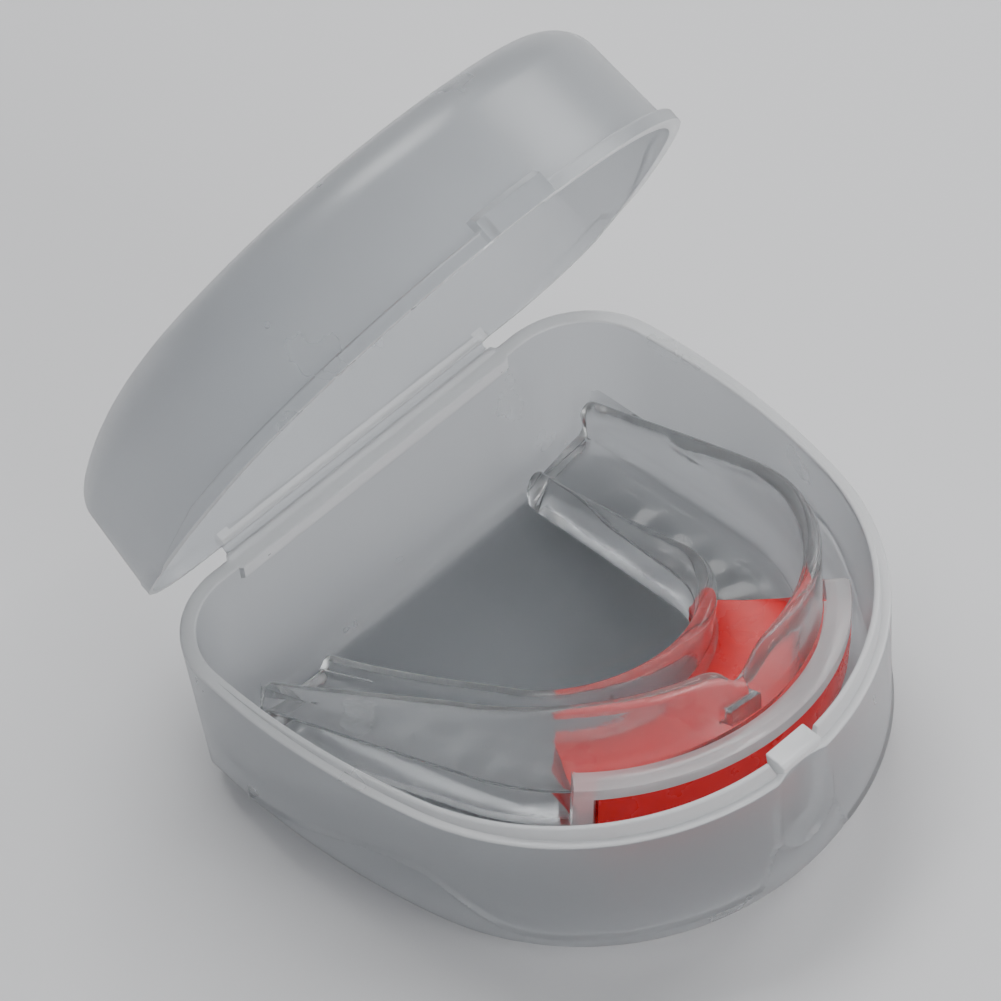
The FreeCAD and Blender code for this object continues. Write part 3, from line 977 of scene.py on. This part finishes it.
def remap(tree, value, low, high):
    node = tree.nodes.new("ShaderNodeMapRange")
    node.inputs["From Min"].default_value = 0.3
    node.inputs["From Max"].default_value = 0.7
    node.inputs["To Min"].default_value = low
    node.inputs["To Max"].default_value = high
    tree.links.new(value, node.inputs["Value"])
    return node.outputs["Result"]


def bump(tree, shader, value, strength, distance):
    node = tree.nodes.new("ShaderNodeBump")
    node.inputs["Strength"].default_value = strength
    node.inputs["Distance"].default_value = distance
    tree.links.new(value, node.inputs["Height"])
    tree.links.new(node.outputs["Normal"], shader.inputs["Normal"])


def frosted_plastic(name, colour, transmission):
    material, tree, shader = new_material(name)
    shader.inputs["Base Color"].default_value = (*colour, 1)
    shader.inputs["IOR"].default_value = 1.42
    shader.inputs["Transmission Weight"].default_value = transmission
    tree.links.new(remap(tree, noise(tree, 60), 0.26, 0.36), shader.inputs["Roughness"])
    bump(tree, shader, noise(tree, 900, 2.0), 0.05, 0.0002)
    return material


def clear_plastic(name, transmission):
    material, tree, shader = new_material(name)
    shader.inputs["Base Color"].default_value = (0.96, 0.965, 0.97, 1)
    shader.inputs["IOR"].default_value = 1.25
    shader.inputs["Transmission Weight"].default_value = transmission
    shader.inputs["Coat Weight"].default_value = 0.15
    shader.inputs["Coat Roughness"].default_value = 0.12
    tree.links.new(remap(tree, noise(tree, 120), 0.06, 0.14), shader.inputs["Roughness"])
    bump(tree, shader, noise(tree, 260, 3.0), 0.12, 0.0005)
    return material


def red_plastic():
    material, tree, shader = new_material("red_eva")
    shader.inputs["Base Color"].default_value = (0.95, 0.003, 0.006, 1)
    shader.inputs["Coat Weight"].default_value = 0.1
    tree.links.new(remap(tree, noise(tree, 150), 0.24, 0.34), shader.inputs["Roughness"])
    bump(tree, shader, noise(tree, 900, 2.0), 0.03, 0.0001)
    return material


def paint(materials, *objects):
    for obj in objects:
        for material in materials:
            obj.data.materials.append(material)


# ---------------------------------------------------------------- floor, light, camera

def build_floor():
    gap = 0.0001
    low = cad_bounds[0][2] - gap
    size = 4.0
    corners = [(-size, -size, low), (size, -size, low), (size, size, low), (-size, size, low)]
    mesh = bpy.data.meshes.new("floor")
    mesh.from_pydata(corners, [], [(0, 1, 2, 3)])
    obj = bpy.data.objects.new("floor", mesh)
    bpy.context.scene.collection.objects.link(obj)
    material, _, shader = new_material("floor_paper")
    shader.inputs["Base Color"].default_value = (0.60, 0.60, 0.61, 1)
    shader.inputs["Roughness"].default_value = 0.7
    mesh.materials.append(material)


def area_light(name, position, aim, size, power):
    light = bpy.data.lights.new(name, "AREA")
    light.shape = "RECTANGLE"
    light.size, light.size_y = size
    light.energy = power
    obj = bpy.data.objects.new(name, light)
    obj.location = position
    direction = Vector(aim) - Vector(position)
    obj.rotation_euler = direction.to_track_quat("-Z", "Y").to_euler()
    bpy.context.scene.collection.objects.link(obj)


def build_lights():
    middle = (0, 0, 0.04)
    area_light("key", (0.15, 0.35, 0.9), middle, (0.6, 0.5), 8.0)
    area_light("side", (0.8, -0.1, 0.5), middle, (0.4, 0.5), 4.0)
    area_light("front", (-0.1, -0.9, 0.55), middle, (0.7, 0.4), 6.0)
    world = bpy.data.worlds.new("studio")
    world.use_nodes = True
    background = world.node_tree.nodes["Background"]
    background.inputs["Color"].default_value = (0.9, 0.92, 0.95, 1)
    background.inputs["Strength"].default_value = 0.35
    bpy.context.scene.world = world


def build_camera():
    azimuth, elevation, roll = (math.radians(v) for v in VIEW)
    back = Vector((
        math.sin(azimuth) * math.cos(elevation),
        -math.cos(azimuth) * math.cos(elevation),
        math.sin(elevation),
    ))
    right = Vector((math.cos(azimuth), math.sin(azimuth), 0))
    up = back.cross(right)
    rolled_right = right * math.cos(roll) + up * math.sin(roll)
    rolled_up = up * math.cos(roll) - right * math.sin(roll)
    camera = bpy.data.cameras.new("photo_view")
    camera.lens = LENS
    camera.clip_start = 0.01
    obj = bpy.data.objects.new("photo_view", camera)
    place = Vector(AIM) * MM + back * DISTANCE * MM
    turn = Matrix((rolled_right, rolled_up, back)).transposed().to_4x4()
    obj.matrix_world = Matrix.Translation(place) @ turn
    bpy.context.scene.collection.objects.link(obj)
    bpy.context.scene.camera = obj


thin = frosted_plastic("frosted_polypropylene", (0.70, 0.72, 0.74), 0.84)
# Lighter, less clear copy of the plastic: partly thicker plastic, partly painted edge highlight on the
# rims and hinge lands; the tab takes it whole
thick_and_highlight = frosted_plastic("frosted_polypropylene_thick_and_highlight", (0.90, 0.91, 0.92), 0.5)
paint([thin, thick_and_highlight], build_base(), build_lid())
paint([thin], build_film())
paint([thick_and_highlight], build_tab())
build_guard_shell([clear_plastic("clear_eva", 0.93), clear_plastic("milky_eva", 0.45)])
paint([red_plastic()], build_guard_insert())
build_floor()
build_lights()
build_camera()
